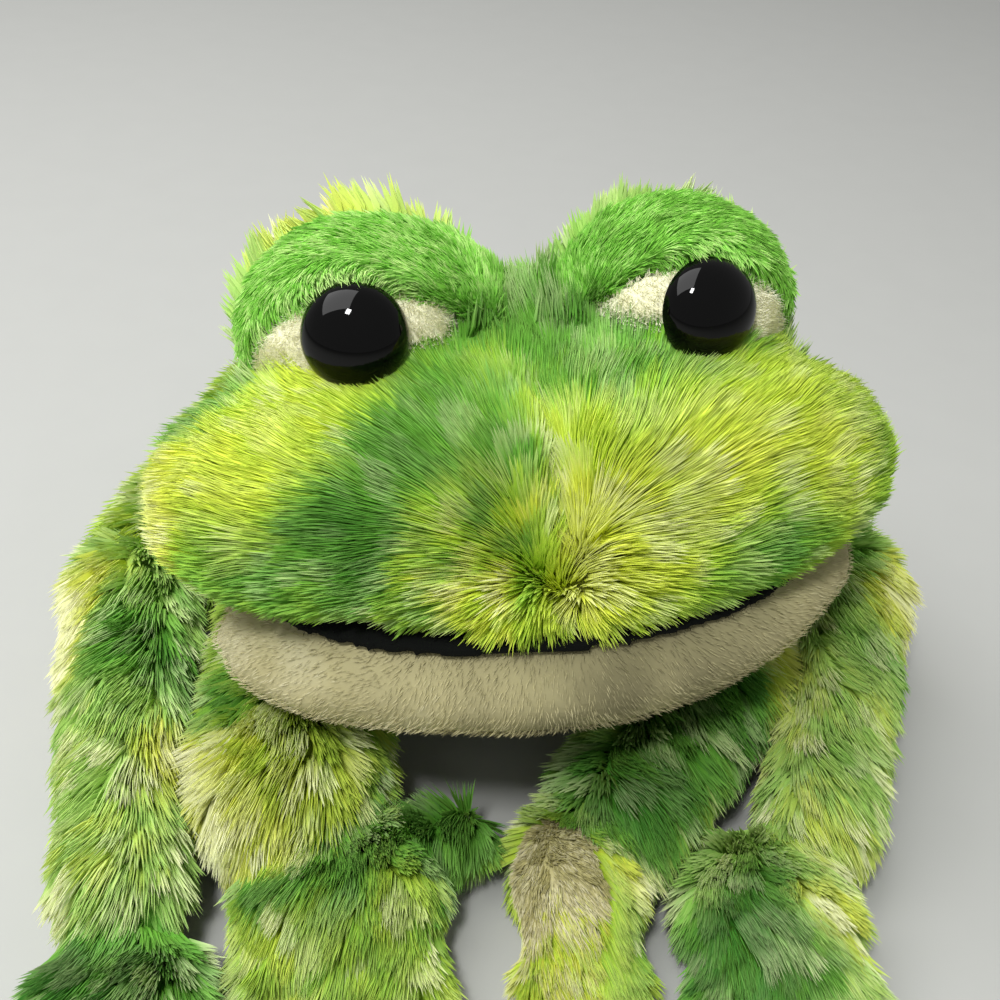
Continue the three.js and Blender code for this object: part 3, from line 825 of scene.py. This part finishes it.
def jaw_pile(points):
    """Cream pile combed away from the back of the mouth, with painted shade making the middle of the jaw darker,
    under the muzzle
    """
    # Painted shade: worn darkens the dye in the middle of the jaw, where the muzzle shades it
    worn = hump(points[:, 0], 14, 34)
    return {"dye": 0.56 - 0.5 * worn + 0.2 * drift(points, 9, 5), "comb": points - (0, -50, 6),
            "lay": 0.6, "long": 0.9}


def palm_pile(points):
    """Cream pile that turns to longer green pile at the fingers"""
    fingers = ramp(points[:, 1], -64, -71)
    return {"dye": 0.28 + 0.14 * drift(points, 6, 5) + 0.6 * fingers, "comb": (0.3, -1, -0.2),
            "lay": 0.62, "long": 0.9 + 0.9 * fingers}


def felt_fuzz(points):
    """The few fibres that stand off felt"""
    return {"dye": 0.4, "comb": (0, -1, 0.2), "lay": 0.2, "long": 1.0}


def eye_axis(side):
    """The way that an eye looks, in the head's frame"""
    outwards, up = (math.radians(angle) for angle in EYE_AIM)
    return Vector((math.sin(outwards * side) * math.cos(up), -math.cos(outwards) * math.cos(up), math.sin(up)))


def lid_pile(side):
    """A field maker for brushed pile that runs over the arch of a lid to its outer end.

    At the lid's edge it falls over the eye, and at the inner end of the edge it is short.
    """
    def fields(points):
        toward = eye_seat(side) - points
        near = ramp(np.linalg.norm(toward, axis=1), 15.5, 11.5)
        inner = near * ramp(points[:, 0] * side, 28, 19)
        over = units(np.cross(np.array(eye_axis(side)), toward)) * side
        comb = (over * (1.1 - near + 0.8 * inner)[:, None]
                + units(toward) * (0.2 + 1.1 * near - 0.8 * inner)[:, None]
                + 0.5 * drifts(points, 3, 21))
        return {"dye": 0.42 - 0.07 * side + 0.2 * drift(points, 4, 5) + 0.2 * near, "comb": comb,
                "lay": 0.72 - 0.2 * near,
                "long": 1 + 0.2 * drift(points, 5, 8) + 0.55 * near - 0.75 * inner}
    return fields


def lip_height(across):
    """How high the lower edge of the muzzle lies before it is filled out, in millimetres of the head's frame"""
    return 10 + 5 * hump(across, 0, 20)


def shifted(obj, points, moved, unit=1):
    """Puts a skin's points where they are, moved along ways of the head's frame"""
    move_points(obj.data, points + moved @ np.array(HEAD.to_3x3()).T * unit)


def shaped_muzzle(obj):
    """Draws in the seam down the middle of the muzzle, and fills out its lip and its right side"""
    points, normals = points_of(obj.data), normals_of(obj.data)
    local = in_frame(points, HEAD)
    across, deep, high = local.T
    front = ramp(deep, -28, -42) * ramp(high, 12, 22)
    depth = sizes().crease * front * hump(across, 0, 4.5)
    low = ramp(high - lip_height(across), 13, 1)
    lip = low * ramp(deep, -38, -52) * hump(across, 2, 19)
    moved = np.outer(lip, (0, -0.7, -0.72)) * sizes().lip
    moved += np.outer(ramp(-across, 42, 62) * ramp(deep, 0, -25), (-3 * MM, 0, 0))
    moved += np.outer(ramp(across, 44, 64) * low, (1.5 * MM, 1 * MM, 3 * MM))
    moved += np.outer(low * hump(across, -36, 15), (0, 0.5 * MM, 2.5 * MM))
    shifted(obj, points - normals * depth[:, None], moved)


def eye_seat(side):
    """Where an eye sits, in millimetres of the head's frame"""
    return mound(side) + np.array(eye_axis(side)) * EYE_SEAT / MM


def shaped_lid(obj, side):
    """Draws the inner end of the right lid towards the middle of the head, and opens the left one there"""
    points = points_of(obj.data)
    local = in_frame(points, HEAD)
    inner = ramp(local[:, 0], -34, -12) * (side < 0)
    away = local - eye_seat(side)
    opened = ramp(np.linalg.norm(away, axis=1), 17, 12) * ramp(local[:, 0], 34, 22) * (side > 0)
    moved = np.outer(inner, (5.5, -1, -1)) + 2.5 * opened[:, None] * units(away)
    shifted(obj, points, moved, MM)


def shaped_jaw(obj):
    """Draws out both ends of the jaw: the one upwards and the other a little down, as the toy is squashed"""
    points = points_of(obj.data)
    across = in_frame(points, HEAD)[:, 0]
    moved = np.outer(ramp(across, 20, 60) ** 1.5, (5 * MM, 3 * MM, 5 * MM))
    moved += np.outer(ramp(-across, 20, 60) ** 1.5, (-4.5 * MM, -2 * MM, -3 * MM))
    shifted(obj, points, moved)


class FROG_OT_studio(bpy.types.Operator):
    """Sets up the floor, the lamps and the camera"""
    bl_idname = "frog.studio"
    bl_label = "Studio"

    def execute(self, context):
        scene = context.scene
        scene.view_settings.view_transform = "Standard"
        mesh = bpy.data.meshes.new("floor")
        corners = ((-1, -1), (1, -1), (1, 1), (-1, 1))
        mesh.from_pydata([(x * FLOOR_REACH, y * FLOOR_REACH, 0) for x, y in corners], [], [(0, 1, 2, 3)])
        floor = shown("floor", mesh)
        mesh.materials.append(speckled("floor_paper", colours().floor, 0.96, 60, 0.1 * MM, 0.9))
        world = scene.world or bpy.data.worlds.new("studio")
        scene.world = world
        world.use_nodes = True
        tree = world.node_tree
        path = add(tree, "ShaderNodeLightPath")
        seen = sums(tree, "MAXIMUM", out(path, "Is Camera Ray"), out(path, "Is Transmission Ray"))
        light = sums(tree, "MULTIPLY_ADD", seen, WORLD_SEEN, WORLD_LIGHT)
        feed(tree, tree.nodes["Background"], {0: (1, 1, 1, 1), 1: light})
        for name, at, aim, wide, high, power in LAMPS:
            lamp = bpy.data.lights.new(name, "AREA")
            lamp.shape = "RECTANGLE"
            lamp.size, lamp.size_y = wide, high
            lamp.energy = power
            obj = bpy.data.objects.new(name, lamp)
            obj.location = at
            obj.rotation_euler = (Vector(aim) - Vector(at)).to_track_quat("-Z", "Y").to_euler()
            scene.collection.objects.link(obj)
        self.aim_camera(scene)
        return {"FINISHED"}

    def aim_camera(self, scene):
        """Puts the camera where the photograph was taken from"""
        target = Vector(CAMERA_AIM) * MM
        azimuth, elevation, roll = (math.radians(angle) for angle in CAMERA_TURN)
        back = Vector((math.sin(azimuth) * math.cos(elevation), -math.cos(azimuth) * math.cos(elevation),
                       math.sin(elevation)))
        right = back.cross(Vector((0, 0, -1))).normalized()
        up = right.cross(-back)
        turned = right * math.cos(roll) + up * math.sin(roll)
        upright = up * math.cos(roll) - right * math.sin(roll)
        camera = bpy.data.cameras.new("camera")
        camera.sensor_width = 36
        camera.angle = math.radians(CAMERA_ANGLE)
        camera.clip_start = 0.01
        obj = bpy.data.objects.new("camera", camera)
        obj.matrix_world = Matrix.Translation(target + back * CAMERA_AWAY) @ Matrix(
            (turned, upright, back)).transposed().to_4x4()
        scene.collection.objects.link(obj)
        scene.camera = obj


class FROG_OT_finishes(bpy.types.Operator):
    """Makes the pile's node trees, its strands and every material"""
    bl_idname = "frog.finishes"
    bl_label = "Finishes"

    def execute(self, context):
        dye_group()
        pile_tree()
        make_materials()
        strand()
        return {"FINISHED"}


class FROG_OT_head(bpy.types.Operator):
    """Makes the two halves of the muzzle and the back of the head"""
    bl_idname = "frog.head"
    bl_label = "Muzzle and crown"

    def execute(self, context):
        covers = ["muzzle_cover_left", "muzzle_cover_right", "head_back_cover"]
        bare = ["eyelid_left", "eyelid_right", "eye_white_left", "eye_white_right"]
        obj = stuffed(skin("head_skin", covers + ["head_stuffing"] + bare, BROAD_VOXEL))
        shaped_muzzle(obj)
        filled(obj, "head_stuffing")
        dress_all(obj, [
            *((half, "face", 44000, "face_pile", "pile_lime", face_pile) for half in covers[:2]),
            (covers[2], "shaggy", 28000, "leg_pile", "pile_green", crown_pile),
        ], HEAD, bare)
        return {"FINISHED"}


class FROG_OT_eyes(bpy.types.Operator):
    """Makes the lids, the eye whites and the safety eyes"""
    bl_idname = "frog.eyes"
    bl_label = "Eyes"

    def execute(self, context):
        for name, side in SIDES.items():
            lid = skin("lid_skin", ["eyelid_" + name], LID_VOXEL)
            shaped_lid(lid, side)
            dress_all(lid, [("eyelid_" + name, "lid", 16000, "lid_pile", "lid_plush", lid_pile(side))], HEAD)
            white = skin("white_skin", ["eye_white_" + name], LID_VOXEL)
            dress_all(white, [("eye_white_" + name, "nap", 7500, "eye_white", "cream_plush",
                               shorn((side * 0.2, -0.3, 0.2), lay=0.3, long=1.4))], HEAD)
            self.safety_eye(name, side)
        return {"FINISHED"}

    def safety_eye(self, name, side):
        """A domed eye on a thin rim, with a ribbed stem behind it"""
        s = sizes()
        aim = eye_axis(side)
        seat = Vector(mound(side)) * MM + aim * EYE_SEAT
        profile = [(across * MM, height * MM) for across, height in STEM]
        profile += [(s.eye_radius - 0.4 * MM, 0), (s.eye_radius, 0.3 * MM)]
        for step in range(EYE_STEPS + 1):
            angle = math.pi / 2 * step / EYE_STEPS
            profile.append(((s.eye_radius - 0.05 * MM) * math.cos(angle),
                            0.5 * MM + (s.eye_dome - 0.5 * MM) * math.sin(angle)))
        aim.rotate(Matrix.Rotation(math.radians(EYE_TURN[name] * side), 3, "Z"))
        place = HEAD @ Matrix.Translation(seat) @ Vector((0, 0, 1)).rotation_difference(aim).to_matrix().to_4x4()
        mesh = bpy.data.meshes.new("safety_eye")
        bm = bmesh.new()
        rings = []
        for across, height in profile:
            angles = [math.tau * i / EYE_SIDES for i in range(EYE_SIDES if across > 1e-6 else 1)]
            rings.append([bm.verts.new(place @ Vector((across * math.cos(a), across * math.sin(a), height)))
                          for a in angles])
        for low, high in zip(rings, rings[1:]):
            for i in range(EYE_SIDES):
                j = (i + 1) % EYE_SIDES
                corners = (low[i % len(low)], low[j % len(low)], high[j % len(high)], high[i % len(high)])
                bm.faces.new(list(dict.fromkeys(corners)))
        bm.to_mesh(mesh)
        bm.free()
        mesh.shade_smooth()
        mesh.materials.append(bpy.data.materials["polished_eye"])
        eye = shown("safety_eye_dome_" + name, mesh)
        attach(eye, "head")
        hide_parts("safety_eye_" + name)


class FROG_OT_mouth(bpy.types.Operator):
    """Makes the jaw's shorn panel and the felt between the lips"""
    bl_idname = "frog.mouth"
    bl_label = "Jaw and felt"

    def execute(self, context):
        jaw = stuffed(skin("jaw_skin", ["jaw_panel", "jaw_stuffing"], BROAD_VOXEL), sunk=JAW_SUNK)
        shaped_jaw(jaw)
        filled(jaw, "jaw_stuffing")
        dress_all(jaw, [("jaw_panel", "shorn", 22000, "shorn_cream", "cream_plush", jaw_pile)], HEAD)
        felt = skin("felt_skin", ["mouth_felt"], FELT_VOXEL, relax=2)
        dress_all(felt, [("mouth_felt", "fuzz", 5000, "fuzzy_felt", "black_felt", felt_fuzz)], HEAD)
        return {"FINISHED"}


class FROG_OT_torso(bpy.types.Operator):
    """Makes the back and the belly"""
    bl_idname = "frog.torso"
    bl_label = "Torso"

    def execute(self, context):
        nodes = ["back_cover", "belly_panel", "torso_stuffing", "torso_bead_bag"]
        obj = stuffed(skin("torso_skin", nodes, TORSO_VOXEL))
        dress_all(obj, [
            ("back_cover", "shaggy", 21000, "limb_pile", "pile_green", combed((0, 1, -0.4), 0.6)),
            ("belly_panel", "shorn", 5000, "shorn_cream", "cream_plush", shorn((0, 1, 0))),
        ])
        return {"FINISHED"}


class FROG_OT_arms(bpy.types.Operator):
    """Makes the sleeves, hands and palms"""
    bl_idname = "frog.arms"
    bl_label = "Arms"

    def execute(self, context):
        for name, side in SIDES.items():
            nodes = [part + "_" + name for part in (
                "arm_cover", "arm_under_panel", "hand_cover", "palm_panel", "arm_stuffing", "hand_stuffing")]
            obj = stuffed(skin("arm_skin", nodes, LIMB_VOXEL), LIMB_SWELL)
            down = (0.25 * side, -1, -0.5)
            dress_all(obj, [
                (nodes[0], "shaggy", 26000, "limb_pile", "pile_lime", combed(down, 0.52, long=1.12)),
                (nodes[1], "shorn", 4000, "shorn_cream", "cream_plush", shorn(down)),
                (nodes[2], "shaggy", 20000, "limb_pile", "pile_green",
                 combed((0.15 * side, -1, -0.3), 0.58, long=0.9)),
                (nodes[3], "palm", 7500, "palm_cream", "cream_plush", palm_pile),
            ])
        return {"FINISHED"}


class FROG_OT_legs(bpy.types.Operator):
    """Makes the thighs, shanks, feet and soles"""
    bl_idname = "frog.legs"
    bl_label = "Legs"

    def execute(self, context):
        for name, side in SIDES.items():
            nodes = ["thigh_cover_" + name, "thigh_stuffing_" + name]
            thigh = stuffed(skin("thigh_skin", nodes, BROAD_VOXEL))
            dress_all(thigh, [(nodes[0], "shaggy", 14000, "limb_pile", "pile_green",
                               combed((0.4 * side, -0.9, -0.3), 0.55))])
            nodes = [part + "_" + name for part in (
                "shank_cover", "foot_cover", "sole_panel", "shank_stuffing", "foot_bead_bag")]
            obj = stuffed(skin("shank_skin", nodes, LIMB_VOXEL), LIMB_SWELL)
            dress_all(obj, [
                (nodes[0], "shaggy", 18000, "leg_pile", "pile_lime",
                 combed((0.3 * side, -1, -0.6), 0.66, long=0.92)),
                (nodes[1], "shaggy", 16000, "leg_pile", "pile_green",
                 combed((0.15 * side, -1, -0.35), 0.58, long=0.95)),
                (nodes[2], "shorn", 2500, "shorn_cream", "cream_plush", shorn((0, -1, 0))),
            ])
        return {"FINISHED"}


class FROG_OT_fillings(bpy.types.Operator):
    """Gives the stuffing, the bead bags and the washers their materials"""
    bl_idname = "frog.fillings"
    bl_label = "Fillings"

    def execute(self, context):
        finishes = {"stuffing": "loose_fibre", "bead_bag": "bead_cloth", "washer": "moulded_plastic"}
        for node, obj in NODES.items():
            for word, finish in finishes.items():
                if word in node:
                    for slot in obj.material_slots:
                        slot.material = bpy.data.materials[finish]
        bpy.data.objects.remove(bpy.data.objects["strand"])
        return {"FINISHED"}


class FROG_PT_panel(bpy.types.Panel):
    """Lists the frog's sizes, colours and pieces"""
    bl_label = "Plush Frog"
    bl_idname = "FROG_PT_panel"
    bl_space_type = "VIEW_3D"
    bl_region_type = "UI"
    bl_category = "Frog"

    def draw(self, context):
        for group in (context.scene.frog_sizes, context.scene.frog_colours):
            box = self.layout.box()
            for key in group.bl_rna.properties.keys():
                if key not in ("rna_type", "name"):
                    box.prop(group, key)
        for operator in OPERATORS:
            self.layout.operator(operator.bl_idname)


OPERATORS = (FROG_OT_studio, FROG_OT_finishes, FROG_OT_head, FROG_OT_eyes, FROG_OT_mouth, FROG_OT_torso,
             FROG_OT_arms, FROG_OT_legs, FROG_OT_fillings)
CLASSES = (FrogSizes, FrogColours) + OPERATORS + (FROG_PT_panel,)


def register():
    for item in CLASSES:
        bpy.utils.register_class(item)
    bpy.types.Scene.frog_sizes = bpy.props.PointerProperty(type=FrogSizes)
    bpy.types.Scene.frog_colours = bpy.props.PointerProperty(type=FrogColours)


def unregister():
    del bpy.types.Scene.frog_colours
    del bpy.types.Scene.frog_sizes
    for item in reversed(CLASSES):
        bpy.utils.unregister_class(item)


def main():
    register()
    for operator in OPERATORS:
        group, action = operator.bl_idname.split(".")
        getattr(getattr(bpy.ops, group), action)()


if __name__ == "__main__":
    main()
